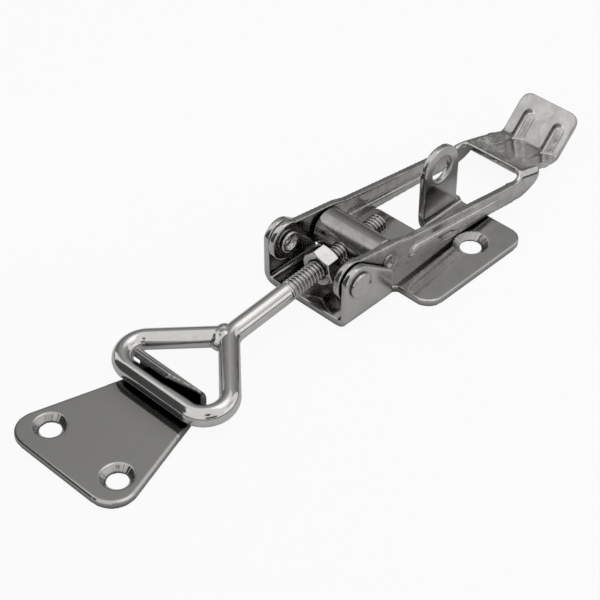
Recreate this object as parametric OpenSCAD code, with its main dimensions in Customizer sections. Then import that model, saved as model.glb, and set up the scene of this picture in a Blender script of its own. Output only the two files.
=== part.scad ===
// Adjustable over-centre hatch fastener with a padlock lug and a hooked strike plate.
// Millimetres. X runs from the strike plate to the lever tab, Y across the fastener, Z up from the mounting face.
// The origin is on the mounting face, under the middle of the lever pivot axis. The fastener is shown latched.

/* [Sheet and clearances] */
// Thickness of the base and strike sheet
sheet_t = 2.3; // [1.5:0.1:3]
// Thickness of the lever sheet
lever_t = 2.2; // [1.5:0.1:3]
// Radial clearance of a turning pin in its hole
pin_gap = 0.05; // [0.02:0.01:0.1]
// Side clearance between turning faces
side_gap = 0.3; // [0.2:0.05:0.6]

/* [Base channel] */
// Half of the width over the ears
ear_w = 17.3; // [14:0.1:22]
// Front edge of the channel ahead of the pivot axis
channel_front = 5.8; // [4:0.1:8]
// Rear edge of the ears behind the pivot axis
ear_rear = 15.2; // [12:0.1:20]
// Height of the pivot axis above the mounting face
pivot_z = 15; // [12:0.1:20]
// Radius of the ear around the pivot
ear_r = 6.1; // [5:0.1:8]
// Height of the ear at its rear edge
ear_rear_z = 11.5; // [8:0.1:14]
// Inside radius of the channel bends
bend_r = 1.7; // [1:0.1:3]
// Rear edge of the channel floor behind the pivot axis
floor_rear = 43.3; // [36:0.1:50]
// Set-back of the far edge of the floor from the ear
floor_in = 1.5; // [0.5:0.1:4]
// Radius of the far rear corner of the floor
floor_corner = 3; // [1:0.5:6]

/* [Base wing] */
// Outer edge of the wing from the centre plane
wing_w = 29.4; // [26:0.1:36]
// Front edge of the wing behind the pivot axis
wing_front = 18.4; // [17:0.1:24]
// Rear edge of the wing behind the pivot axis
wing_rear = 64.9; // [56:0.1:72]
// Radius of the two outer wing corners
wing_corner = 5.6; // [3:0.1:9]
// Radius of the relief slot between ear and wing
relief_r = 1.6; // [1:0.1:2]
// Reach of the relief slot in under the ear
relief_reach = 1.9; // [1:0.1:3]

/* [Base screw holes] */
// Distance of the wing screw hole behind the pivot axis
wing_hole_x = 50.4; // [40:0.1:56]
// Distance of the wing screw hole from the centre plane
wing_hole_y = 18.9; // [14:0.1:22]
// Distance of the floor screw hole behind the pivot axis
floor_hole_x = 25; // [20:0.1:32]
// Radius of the base screw holes
base_hole_r = 3.4; // [2:0.1:4]
// Radius of the base countersinks at the top face
base_sink_r = 5.8; // [4:0.1:7]
// Straight height of a screw hole under its countersink
hole_land = 0.6; // [0.3:0.1:1.2]

/* [Padlock lug] */
// Middle of the lug behind the pivot axis
lug_x = 54.6; // [50:0.1:60]
// Half of the lug width and radius of its top
lug_r = 8.2; // [6:0.1:11]
// Height of the middle of the round top
lug_z = 20; // [16:0.1:26]
// Inside radius of the lug bend
lug_bend_r = 1.4; // [0.8:0.1:3]
// Radius of the padlock hole
lug_hole_r = 4.2; // [3:0.1:5.5]
// Chamfer of the padlock hole
lug_chamfer = 0.4; // [0.2:0.1:1]
// Radius of the fillets at the foot of the lug
lug_foot_r = 2.1; // [1:0.1:4]

/* [Pivot rivets] */
// Radius of the rivet shank
rivet_r = 2.6; // [2:0.1:3.5]
// Radius of the outer head
rivet_head_r = 4.2; // [3.6:0.1:5.5]
// Height of the outer head
rivet_head_h = 1.7; // [0.8:0.1:2.4]
// Rim height of the outer head
rivet_rim_h = 0.7; // [0.3:0.1:1]
// Radius of the rolled ring inside the lever
rivet_ring_r = 3.7; // [3.2:0.1:4.5]
// Height of the rolled ring
rivet_ring_h = 1.1; // [0.6:0.1:1.6]
// Radius of the hollow in the rolled end
rivet_hollow_r = 1.7; // [1:0.1:2]
// Depth of the hollow in the rolled end
rivet_hollow_d = 3; // [1:0.1:4]

/* [Lever arms] */
// Side clearance between an ear and a lever arm
arm_gap = 0.55; // [0.3:0.05:0.9]
// Radius of the arm end around the pivot
arm_end_r = 6.6; // [5.5:0.1:8]
// Height of the arm top line at the pivot axis
arm_top_z = 20.3; // [18:0.1:23]
// Fall of the arm top line for each millimetre of length
arm_top_fall = 0.16; // [0.1:0.005:0.2]
// Extra height of the arm top ahead of its shoulder
shoulder_h = 0.9; // [0:0.1:2]
// Start of the shoulder behind the pivot axis
shoulder_x = 21; // [18:0.5:26]
// End of the shoulder behind the pivot axis
shoulder_end = 26.5; // [20:0.5:32]
// Height of the arm bottom line at the pivot axis
arm_low_z = 8.1; // [6:0.1:9]
// Fall of the arm bottom line for each millimetre of length
arm_low_fall = 0.084; // [0.05:0.002:0.12]
// Lowest point of the lever behind the pivot axis
heel_x = 80.5; // [74:0.5:88]
// Height of the heel above the mounting face
heel_z = 0.5; // [0.2:0.1:3]
// Radius of the heel curve
heel_r = 17; // [8:0.5:24]
// Start of the pressed arm bead behind the pivot axis
bead_start = 27.6; // [24:0.2:32]
// End of the pressed arm bead behind the pivot axis
bead_end = 68; // [55:0.2:74]
// Half of the bead height
bead_r = 1.7; // [1:0.1:2.4]
// Height of the bead off the arm face
bead_h = 0.8; // [0.3:0.1:1.2]

/* [Lever web and tab] */
// Front edge of the web behind the pivot axis
web_front = 83.2; // [78:0.2:90]
// Rise of the arm top to the web, along the lever
web_rise = 3.4; // [1:0.1:6]
// Height of the web top at its front edge
web_z = 9.2; // [7:0.1:11]
// Slope of the web in degrees
web_tilt = 16; // [8:0.5:22]
// Outside radius of the side bends of the web
web_bend_r = 4.2; // [3:0.1:6]
// Start of the narrowing to the tab
neck_start = 92; // [88:0.5:96]
// End of the narrowing to the tab
neck_end = 101.5; // [97:0.5:104]
// Bend line of the tab behind the pivot axis
tab_x = 103.2; // [98:0.2:106]
// Rise of the tab in degrees
tab_tilt = 45; // [30:1:60]
// Length of the tab from the bend line
tab_len = 15.6; // [12:0.1:24]
// Set-back of the tab sides from the outer faces of the arms
tab_in = 3.05; // [1:0.05:5]
// Radius of the tab corners
tab_corner = 3.6; // [2:0.1:6]
// Inside radius of the tab bend
tab_bend_r = 2; // [1:0.1:4]
// Radius of the rear corners of the window
window_r = 2.4; // [1:0.1:4]
// Lip of the web bend left along the sides of the window
window_lip = 0.4; // [0.2:0.1:1.5]

/* [Pressed ribs] */
// Half of the distance between the two ribs
rib_y = 6.05; // [4:0.05:8]
// Shift of the pair of ribs to the near side
rib_shift = 0.9; // [0:0.1:2]
// Reach of a rib up the tab from the bend line
rib_len = 8.2; // [5:0.1:12]
// Height of a rib on the tab
rib_h = 1.8; // [0.8:0.1:2.4]
// Radius of the rib crest
rib_r = 0.9; // [0.5:0.1:1.6]
// Slope of the rib sides in degrees
rib_slope = 40; // [25:1:60]
// Depth of a rib in the sheet
rib_sink = 0.5; // [0.2:0.1:1]
// Length of the pressed crease on the web, ahead of a rib
crease_len = 9.5; // [4:0.5:14]
// Radius of the crease
crease_r = 0.6; // [0.3:0.1:1]
// Depth of the crease
crease_d = 0.4; // [0.1:0.05:0.6]

/* [Trunnion] */
// Distance from the pivot axis to the trunnion axis
crank = 16.6; // [14:0.1:20]
// Angle of the trunnion below the pivot in degrees
crank_angle = 10; // [0:0.1:20]
// Radius of the trunnion barrel
barrel_r = 6.25; // [5:0.05:8]
// Chamfer of the barrel ends
barrel_chamfer = 0.7; // [0.2:0.1:1.5]
// Radius of the trunnion journals
journal_r = 3; // [2.5:0.1:4]
// Stand of the journal ends out of the arms
journal_out = 0.25; // [0.1:0.05:0.4]
// Radius of the punch mark that spreads a journal end
punch_r = 1.9; // [1:0.1:2.4]
// Depth of the punch mark
punch_d = 0.9; // [0.3:0.1:1.5]

/* [Eye bolt] */
// Radius of the wire and of the screw thread
wire_r = 3.2; // [2.5:0.1:4]
// Pitch of the screw thread
pitch = 1.27; // [0.75:0.01:1.6]
// Depth of the thread grooves
thread_d = 0.75; // [0.3:0.05:0.95]
// Length of thread ahead of the trunnion axis
thread_front = 30; // [22:0.5:36]
// Length of the bolt behind the trunnion axis
bolt_tail = 12; // [8:0.5:16]
// Distance of the crossbar axis ahead of the pivot axis
bail_x = 65.9; // [60:0.1:74]
// Gap under the crossbar in the hook
bail_gap = 0.3; // [0.3:0.05:0.6]
// Set-back of the sides of the bail from the corners of the strike plate
bail_in = 2.9; // [1:0.1:6]
// Angle of each leg from the bolt axis in degrees
leg_angle = 46.4; // [40:0.2:54]
// Bend radius at the neck on the wire axis
neck_r = 8; // [6:0.5:12]
// Bend radius at the loop corners on the wire axis
loop_r = 7; // [5:0.5:10]
// Growth of the wire radius in the bends
bend_swell = 0.02; // [0.01:0.005:0.05]
// Run of the straight lengths into the bends
wire_lap = 0.3; // [0.1:0.1:0.5]
// Radius of the weld bead at the neck
weld_r = 3.5; // [3:0.1:4.8]

/* [Lock nut] */
// Width across the flats of the nut
nut_af = 11.1; // [8:0.1:13]
// Height of the nut
nut_h = 5.4; // [3:0.1:6.5]
// Middle of the nut ahead of the trunnion axis
nut_at = 14.1; // [10:0.1:20]
// Roll of the nut about the bolt axis in degrees
nut_roll = 17.7; // [0:0.1:30]

/* [Strike plate] */
// Distance of the hook axis ahead of the pivot axis
hook_x = 64.9; // [58:0.1:72]
// Inside radius of the hook curl
hook_r = 3.7; // [3.2:0.1:4.8]
// Reach of the hook past the straight of the crossbar, on each side
hook_over = 0.6; // [0:0.1:3]
// Turn of the hook curl in degrees
hook_turn = 164; // [130:1:180]
// Depth cut from the near end of the lip
lip_cut = 2.4; // [0:0.1:4]
// Length of the cut on the near end of the lip
lip_cut_w = 12; // [4:0.5:16]
// End edge of the plate ahead of the pivot axis
plate_end = 104.4; // [98:0.1:115]
// Half of the plate width at its end edge
plate_w = 25.5; // [20:0.1:30]
// Radius of the plate corners
plate_corner = 7.5; // [3:0.5:10]
// Distance of the screw holes ahead of the pivot axis
strike_hole_x = 94.3; // [88:0.1:102]
// Set-back of the screw holes from the corners of the plate
strike_edge = 11.3; // [9:0.1:14]
// Radius of the strike screw holes
strike_hole_r = 3.2; // [2:0.1:4]
// Radius of the strike countersinks at the top face
strike_sink_r = 4.9; // [4:0.1:6.5]

/* [Hidden] */
$fn = 96;
big = 200;
ear_in = ear_w - sheet_t;
floor_far = ear_w - floor_in;
relief_in = ear_w - relief_reach;
arm_w = ear_in - arm_gap;
arm_in = arm_w - lever_t;
// Trunnion axis
tr_x = crank * cos(crank_angle);
tr_z = pivot_z - crank * sin(crank_angle);
// Axis of the hook curl
hook_z = sheet_t + hook_r;
// Bolt axis from the crossbar to the trunnion
bail_z = sheet_t + wire_r + bail_gap;
reach = norm([tr_x + bail_x, tr_z - bail_z]);
bolt_tilt = atan2(tr_z - bail_z, tr_x + bail_x);
// Barrel between the arms
barrel_half = arm_in - side_gap;
tab_w = arm_w - tab_in;
// Loop corners, and the point where the legs meet on the bolt axis
corner_y = plate_w - bail_in - loop_r - wire_r;
corner_in = loop_r / tan((90 - leg_angle) / 2);
loop_apex = reach - (corner_y + corner_in) / tan(leg_angle);
neck_in = neck_r * tan(leg_angle / 2);
// Hook width and screw pitch that go with the bail and the plate
hook_w = corner_y + hook_over;
strike_pitch = 2 * (plate_w - strike_edge);
leg_len = (reach - loop_apex) / cos(leg_angle) - corner_in;
// Lever lines
function arm_top(x) = arm_top_z - arm_top_fall * x;
function arm_low(x) = arm_low_z - arm_low_fall * x;
function web_top(x) = web_z - (x - web_front) * tan(web_tilt);

// Part to show, or all of them

// Prism along Y of a drawing in the XZ plane, from y0 to y1
module side_prism(y0, y1) {
    translate([0, y1, 0])
        rotate([90, 0, 0])
            linear_extrude(height = y1 - y0)
                children();
}

// Unit vector from a to b
function dir(a, b) = (b - a) / norm(b - a);

// Flat outline with convex corners p, each rounded by the radius in r
module rounded(p, r) {
    n = len(p);
    t = [for (i = [0 : n - 1]) r[i] / tan(acos(dir(p[i], p[(i + 1) % n]) * dir(p[i], p[(i + n - 1) % n])) / 2)];
    polygon([for (i = [0 : n - 1], k = [0, 1])
        k == 0 ? p[i] + dir(p[i], p[(i + n - 1) % n]) * t[i] : p[i] + dir(p[i], p[(i + 1) % n]) * t[i]]);
    for (i = [0 : n - 1]) {
        half = acos(dir(p[i], p[(i + 1) % n]) * dir(p[i], p[(i + n - 1) % n])) / 2;
        mid = dir([0, 0], dir(p[i], p[(i + 1) % n]) + dir(p[i], p[(i + n - 1) % n]));
        translate(p[i] + mid * (r[i] / sin(half)))
            circle(r = r[i]);
    }
}

// Countersunk screw hole through the sheet, on the mounting face
module screw_hole(r, sink) {
    translate([0, 0, -1])
        cylinder(h = sheet_t + 2, r = r);
    translate([0, 0, hole_land])
        cylinder(h = sheet_t - hole_land, r1 = r, r2 = sink);
    translate([0, 0, sheet_t])
        cylinder(h = 1, r = sink);
}

// Outline of an ear, seen from the side
module ear_outline() {
    // The rear slope leaves the ear circle at a tangent
    d = [ear_rear, ear_rear_z - pivot_z];
    a = atan2(d[1], d[0]) + acos(ear_r / norm(d));
    intersection() {
        union() {
            polygon([
                [-channel_front, 0],
                [-channel_front, pivot_z],
                [0, pivot_z],
                [ear_r * cos(a), pivot_z + ear_r * sin(a)],
                [ear_rear, ear_rear_z],
                [ear_rear, 0]
            ]);
            translate([0, pivot_z])
                circle(r = ear_r);
        }
        translate([-channel_front, 0])
            square([ear_rear + channel_front, big]);
    }
}

// Cross-section of the channel with its two bent ears
module channel_section() {
    out_r = bend_r + sheet_t;
    difference() {
        union() {
            translate([-ear_w + out_r, 0])
                square([2 * (ear_w - out_r), out_r]);
            translate([-ear_w, out_r])
                square([2 * ear_w, 30]);
            translate([-ear_w + out_r, out_r])
                circle(r = out_r);
            translate([ear_w - out_r, out_r])
                circle(r = out_r);
        }
        translate([-ear_in + bend_r, sheet_t])
            square([2 * (ear_in - bend_r), 40]);
        translate([-ear_in, out_r])
            square([2 * ear_in, 40]);
        translate([-ear_in + bend_r, out_r])
            circle(r = bend_r);
        translate([ear_in - bend_r, out_r])
            circle(r = bend_r);
    }
}

// Padlock lug, seen from the side, with fillets at its foot
module lug_outline() {
    foot = lug_bend_r + sheet_t;
    difference() {
        union() {
            translate([lug_x, lug_z])
                circle(r = lug_r);
            translate([lug_x - lug_r, foot])
                square([2 * lug_r, lug_z - foot]);
            translate([lug_x, foot])
                square([wing_rear - lug_x, lug_foot_r]);
        }
        translate([lug_x + lug_r + lug_foot_r, foot + lug_foot_r])
            circle(r = lug_foot_r);
        translate([lug_x, lug_z])
            circle(r = lug_hole_r);
    }
}

// Base bracket: channel floor with two ears, a wing on the near side and the padlock lug bent up from it
module base_bracket() {
    out_r = bend_r + sheet_t;
    lug_out = lug_bend_r + sheet_t;
    color([0.72, 0.72, 0.73])
        difference() {
            union() {
                // Channel with its ears
                intersection() {
                    translate([-channel_front, 0, 0])
                        rotate([90, 0, 90])
                            linear_extrude(height = channel_front + ear_rear)
                                channel_section();
                    side_prism(-ear_w - 1, ear_w + 1)
                        ear_outline();
                }
                // Floor behind the ears
                linear_extrude(height = sheet_t)
                    difference() {
                        union() {
                            rounded(
                                [[0, -lug_out], [floor_rear, -lug_out], [floor_rear, floor_far], [0, floor_far]],
                                [1, 0.01, floor_corner, 1]);
                            translate([0, -relief_in - relief_r])
                                square([wing_front + 4, relief_in + relief_r]);
                        }
                        // The floor under the channel is already there
                        translate([-1, -big / 2])
                            square([ear_rear + 0.5, big]);
                        // Under the round bends it starts at the rear edge of the ears
                        for (y = [-big / 2, ear_w - out_r])
                            translate([-1, y])
                                square([ear_rear + 1, big / 2 - ear_w + out_r]);
                    }
                // Wing
                linear_extrude(height = sheet_t)
                    rounded(
                        [[wing_front, -wing_w], [wing_rear, -wing_w], [wing_rear, -lug_out], [wing_front, -lug_out]],
                        [wing_corner, wing_corner, 0.01, 0.01]);
                // Bend at the foot of the lug
                translate([lug_x - lug_r, 0, 0])
                    rotate([90, 0, 90])
                        linear_extrude(height = wing_rear - lug_x + lug_r)
                            intersection() {
                                translate([-lug_out, lug_out])
                                    difference() {
                                        circle(r = lug_out);
                                        circle(r = lug_bend_r);
                                    }
                                translate([-lug_out, 0])
                                    square([lug_out, lug_out]);
                            }
                // Lug
                side_prism(-sheet_t, 0)
                    lug_outline();
            }
            // Relief slot between the near ear and the wing
            translate([(ear_rear + wing_front) / 2, -relief_in - relief_r, -1])
                cylinder(h = sheet_t + 2, r = relief_r);
            translate([(ear_rear + wing_front) / 2 - relief_r, -big, -1])
                cube([2 * relief_r, big - relief_in - relief_r, sheet_t + 2]);
            translate([ear_rear, -relief_in - 2 * relief_r, -1])
                cube([(wing_front - ear_rear) / 2, 2 * relief_r, sheet_t + 2]);
            // Screw holes
            translate([wing_hole_x, -wing_hole_y, 0])
                screw_hole(base_hole_r, base_sink_r);
            translate([floor_hole_x, 0, 0])
                screw_hole(base_hole_r, base_sink_r);
            // Rivet holes in the ears
            side_prism(-ear_w - 1, ear_w + 1)
                translate([0, pivot_z])
                    circle(r = rivet_r + pin_gap);
            // Chamfers of the padlock hole
            for (y = [-sheet_t, 0])
                translate([lug_x, y, lug_z])
                    rotate([90, 0, 0])
                        translate([0, 0, y == 0 ? -0.01 : -lug_chamfer])
                            cylinder(
                                h = lug_chamfer + 0.01,
                                r1 = y == 0 ? lug_hole_r + lug_chamfer : lug_hole_r,
                                r2 = y == 0 ? lug_hole_r : lug_hole_r + lug_chamfer);
        }
}

// Rivet standing along +Z: the outer head is at the bottom, its under side at z = 0
module rivet() {
    shank = ear_w - arm_in + side_gap;
    ring = shank + rivet_ring_h;
    ring_mid = rivet_ring_r - rivet_ring_h / 2;
    rotate_extrude()
        polygon(concat(
            // Head with a low crown
            [
                [0, -rivet_head_h],
                [rivet_head_r * 0.82, -rivet_head_h],
                [rivet_head_r, -rivet_rim_h],
                [rivet_head_r, 0],
                [rivet_r, 0]
            ],
            // Rolled ring
            [[rivet_r, shank]],
            [for (a = [-90 : 15 : 90])
                [ring_mid + rivet_ring_h / 2 * cos(a), shank + rivet_ring_h / 2 * (1 + sin(a))]],
            // Hollow end
            [
                [rivet_hollow_r, ring],
                [rivet_hollow_r, ring - rivet_hollow_d],
                [0, ring - rivet_hollow_d]
            ]
        ));
}

// Pivot rivet of the near ear
module pivot_rivet_near() {
    color([0.75, 0.75, 0.76])
        translate([0, -ear_w, pivot_z])
            rotate([-90, 0, 0])
                rivet();
}

// Pivot rivet of the far ear
module pivot_rivet_far() {
    color([0.75, 0.75, 0.76])
        translate([0, ear_w, pivot_z])
            rotate([90, 0, 0])
                rivet();
}

// Lever arm and heel, seen from the side
module arm_outline() {
    union() {
        translate([0, pivot_z])
            circle(r = arm_end_r);
        difference() {
            polygon([
                [0, pivot_z + arm_end_r],
                [2, arm_top(2) + shoulder_h],
                [shoulder_x, arm_top(shoulder_x) + shoulder_h],
                [shoulder_end, arm_top(shoulder_end)],
                [web_front - web_rise, arm_top(web_front - web_rise)],
                [web_front, web_top(web_front) - 0.05],
                [neck_end + 2, web_top(neck_end + 2) - 0.05],
                [neck_end + 2, heel_z],
                [heel_x, heel_z],
                [wing_rear, arm_low(wing_rear)],
                [16, arm_low(16)],
                [2.5, pivot_z - arm_end_r + 0.6],
                [0, pivot_z - arm_end_r]
            ]);
            // Round heel that rises to the tab
            difference() {
                translate([heel_x, heel_z - 1])
                    square([big, big]);
                translate([heel_x, heel_z + heel_r])
                    circle(r = heel_r);
                translate([heel_x - 1, heel_z + heel_r])
                    square([heel_r + 1, big]);
            }
        }
    }
}

// Side outline of the web, its bend and the raised tab
module web_outline() {
    // Upper faces of web and tab meet at the bend line
    bz = web_top(tab_x);
    turn = web_tilt + tab_tilt;
    back = tab_bend_r * tan(turn / 2);
    translate([tab_x, bz]) {
        // Web, towards the front
        rotate([0, 0, -web_tilt])
            translate([-(tab_x - web_front) / cos(web_tilt), -lever_t])
                square([(tab_x - web_front) / cos(web_tilt) - back, lever_t]);
        // Bend
        rotate([0, 0, -web_tilt])
            translate([-back, tab_bend_r])
                intersection() {
                    difference() {
                        circle(r = tab_bend_r + lever_t);
                        circle(r = tab_bend_r);
                    }
                    polygon([
                        [0, 0],
                        [0, -big],
                        [big * sin(turn / 2), -big * cos(turn / 2)],
                        [big * sin(turn), -big * cos(turn)]
                    ]);
                }
        // Tab
        rotate([0, 0, tab_tilt])
            translate([back, -lever_t])
                square([tab_len - back, lever_t]);
    }
}

// Plan of the web and tab, seen from above
module web_plan() {
    far = tab_x + 3 * tab_len;
    polygon([
        [-20, -arm_w],
        [neck_start, -arm_w],
        [neck_start + 0.3 * (neck_end - neck_start), -arm_w + 0.12 * (arm_w - tab_w)],
        [neck_start + 0.7 * (neck_end - neck_start), -tab_w - 0.12 * (arm_w - tab_w)],
        [neck_end, -tab_w],
        [far, -tab_w],
        [far, tab_w],
        [neck_end, tab_w],
        [neck_start + 0.7 * (neck_end - neck_start), tab_w + 0.12 * (arm_w - tab_w)],
        [neck_start + 0.3 * (neck_end - neck_start), arm_w - 0.12 * (arm_w - tab_w)],
        [neck_start, arm_w],
        [-20, arm_w]
    ]);
}

// Plan of the window, with rounded rear corners
module window_plan() {
    w = arm_in - window_lip;
    rounded([[-20, -w], [web_front, -w], [web_front, w], [-20, w]], [0.01, window_r, window_r, 0.01]);
}

// Cross-section of the bent web: sides down, corners rounded outside
module web_section() {
    in_r = web_bend_r - lever_t;
    difference() {
        union() {
            translate([-arm_w, -big])
                square([2 * arm_w, big - web_bend_r]);
            translate([-arm_w + web_bend_r, -web_bend_r])
                square([2 * (arm_w - web_bend_r), web_bend_r]);
            translate([-arm_w + web_bend_r, -web_bend_r])
                circle(r = web_bend_r);
            translate([arm_w - web_bend_r, -web_bend_r])
                circle(r = web_bend_r);
        }
        translate([-arm_in, -big - 1])
            square([2 * arm_in, big + 1 - web_bend_r]);
        translate([-arm_in + in_r, -web_bend_r - 1])
            square([2 * (arm_in - in_r), web_bend_r + 1 - lever_t]);
        translate([-arm_in + in_r, -web_bend_r])
            circle(r = in_r);
        translate([arm_in - in_r, -web_bend_r])
            circle(r = in_r);
    }
}

// Right half of the rib section, from the edge of its narrow top to its foot
function rib_half() = concat(
    [for (a = [0.25 : 0.25 : 1]) [rib_r * sin(a * rib_slope), rib_h - rib_r + rib_r * cos(a * rib_slope)]],
    [[rib_r * sin(rib_slope) + (rib_h - rib_r + rib_r * cos(rib_slope) + rib_sink) / tan(rib_slope), -rib_sink]]
);

// One pressed rib in the frame of the tab: X up the tab from the bend line, Z off its face
module rib(start) {
    half = rib_half();
    foot = len(half) - 1;
    translate([start, 0, 0])
        rotate([90, 0, 90])
            linear_extrude(height = rib_len - start)
                polygon(concat(
                    half,
                    [for (i = [foot : -1 : 0]) [-half[i][0], half[i][1]]]
                ));
    // Round end
    translate([rib_len, 0, 0])
        rotate([0, 0, -90])
            rotate_extrude(angle = 180)
                polygon(concat([[0, half[0][1]]], half, [[0, -rib_sink]]));
}

// Places its children in the frame of the tab
module on_tab() {
    translate([tab_x, 0, web_top(tab_x)])
        rotate([0, -tab_tilt, 0])
            children();
}

// Lever: two beaded arms, a window between them, a web and an upturned tab with two ribs
module lever() {
    bz = web_top(tab_x);
    bead_z = (arm_top(bead_start) + arm_low(bead_start)) / 2 - 0.6;
    bead_fall = (arm_top_fall + arm_low_fall) / 2;
    bead_len = (bead_end - bead_start) / cos(atan(bead_fall));
    color([0.6, 0.6, 0.61])
        difference() {
            union() {
                // Arms and web as one bent channel, open at the window
                difference() {
                    intersection() {
                        translate([web_front, 0, web_z])
                            rotate([0, web_tilt, 0])
                                translate([-(web_front + 20) / cos(web_tilt), 0, 0])
                                    rotate([90, 0, 90])
                                        linear_extrude(height = (web_front + 20) / cos(web_tilt) + 30)
                                            web_section();
                        side_prism(-arm_w - 1, arm_w + 1)
                            arm_outline();
                        translate([0, 0, -20])
                            linear_extrude(height = 80)
                                web_plan();
                    }
                    translate([0, 0, -20])
                        linear_extrude(height = 80)
                            window_plan();
                }
                // Web plate, bend and tab
                intersection() {
                    side_prism(-arm_in, arm_in)
                        web_outline();
                    translate([0, 0, -20])
                        linear_extrude(height = 80)
                            web_plan();
                    // Rounded tab corners, drawn in the plane of the tab
                    union() {
                        translate([0, -big / 2, -20])
                            cube([tab_x + 1, big, 80]);
                        translate([tab_x, 0, bz])
                            rotate([0, -tab_tilt, 0])
                                translate([0, 0, -2 * lever_t])
                                    linear_extrude(height = 3 * lever_t)
                                        rounded(
                                            [[-3, -tab_w], [tab_len, -tab_w], [tab_len, tab_w], [-3, tab_w]],
                                            [0.01, tab_corner, tab_corner, 0.01]);
                    }
                }
                // Ribs, which run down into the web
                for (y = [-rib_y - rib_shift, rib_y - rib_shift])
                    on_tab()
                        translate([0, y, 0])
                            rib(-rib_h);
                // Beads raised on the outer faces
                for (s = [-1, 1])
                    translate([bead_start, s * arm_w, bead_z])
                        rotate([0, atan(bead_fall), 0]) {
                            translate([0, s > 0 ? -0.2 : -bead_h, -bead_r + 0.6])
                                cube([bead_len, bead_h + 0.2, 2 * bead_r - 1.2]);
                            for (z = [-bead_r + 0.6, bead_r - 0.6])
                                translate([0, 0, z])
                                    rotate([0, 90, 0])
                                        intersection() {
                                            cylinder(h = bead_len, r = bead_h, $fn = 48);
                                            translate([-bead_h, s > 0 ? 0 : -bead_h, 0])
                                                cube([2 * bead_h, bead_h, bead_len]);
                                        }
                            for (x = [0, bead_len])
                                translate([x, 0, 0])
                                    rotate([s > 0 ? -90 : 90, 0, 0])
                                        cylinder(h = bead_h, r1 = bead_r, r2 = bead_r - 0.7, $fn = 48);
                        }
            }
            // Grooves of the beads on the inner faces
            for (s = [-1, 1])
                translate([bead_start, s * arm_in, bead_z])
                    rotate([0, atan(bead_fall), 0]) {
                        translate([0, s > 0 ? -1 : -bead_h, -bead_r + 0.7])
                            cube([bead_len, bead_h + 1, 2 * bead_r - 1.4]);
                        for (x = [0, bead_len])
                            translate([x, s > 0 ? -1 : 1, 0])
                                rotate([s > 0 ? -90 : 90, 0, 0])
                                    cylinder(h = bead_h + 1, r = bead_r - 0.7, $fn = 48);
                    }
            // Rivet holes
            side_prism(-arm_w - 1, arm_w + 1)
                translate([0, pivot_z])
                    circle(r = rivet_r + pin_gap);
            // Journal holes
            side_prism(-arm_w - 1, arm_w + 1)
                translate([tr_x, tr_z])
                    circle(r = journal_r + pin_gap);
            // Hollows behind the ribs
            for (y = [-rib_y - rib_shift, rib_y - rib_shift])
                on_tab()
                    translate([0, y, -lever_t - rib_sink])
                        rib(tab_bend_r);
            // Creases on the web ahead of the ribs
            for (y = [-rib_y - rib_shift, rib_y - rib_shift])
                translate([tab_x, y, bz])
                    rotate([0, web_tilt, 0])
                        translate([-crease_len - rib_h, 0, crease_r - crease_d])
                            rotate([0, 90, 0])
                                cylinder(h = crease_len, r = crease_r, $fn = 48);
        }
}

// Trunnion barrel with two journals through the arms and a hole for the bolt
module trunnion() {
    end = arm_w + journal_out;
    color([0.66, 0.66, 0.67])
        translate([tr_x, 0, tr_z])
            difference() {
                rotate([90, 0, 0])
                    rotate_extrude()
                        polygon([
                            [0, -end],
                            [punch_r * 0.3, -end],
                            [journal_r - 0.3, -end],
                            [journal_r, -end + 0.3],
                            [journal_r, -barrel_half],
                            [barrel_r - barrel_chamfer, -barrel_half],
                            [barrel_r, -barrel_half + barrel_chamfer],
                            [barrel_r, barrel_half - barrel_chamfer],
                            [barrel_r - barrel_chamfer, barrel_half],
                            [journal_r, barrel_half],
                            [journal_r, end - 0.3],
                            [journal_r - 0.3, end],
                            [0, end]
                        ]);
                // Punch marks
                for (s = [-1, 1])
                    translate([0, s * (end - punch_d), 0])
                        rotate([s > 0 ? -90 : 90, 0, 0])
                            cylinder(h = punch_d + 0.1, r1 = punch_r * 0.55, r2 = punch_r + 0.1);
                // Hole for the bolt
                rotate([0, 90 - bolt_tilt, 0])
                    cylinder(h = 4 * barrel_r, r = wire_r + pin_gap, center = true);
            }
}

// Places its children on the bolt axis: X along the bolt to the tail, origin on the trunnion axis
module on_bolt() {
    translate([tr_x, 0, tr_z])
        rotate([0, -bolt_tilt, 0])
            children();
}

// Straight wire of length l along X
module wire(l) {
    rotate([0, 90, 0])
        cylinder(h = l, r = wire_r);
}

// Bent wire in the XY plane about the origin, from angle a over an angle w
module bent_wire(r, a, w) {
    rotate([0, 0, a])
        rotate_extrude(angle = w)
            translate([r, 0])
                circle(r = wire_r + bend_swell);
}

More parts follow.
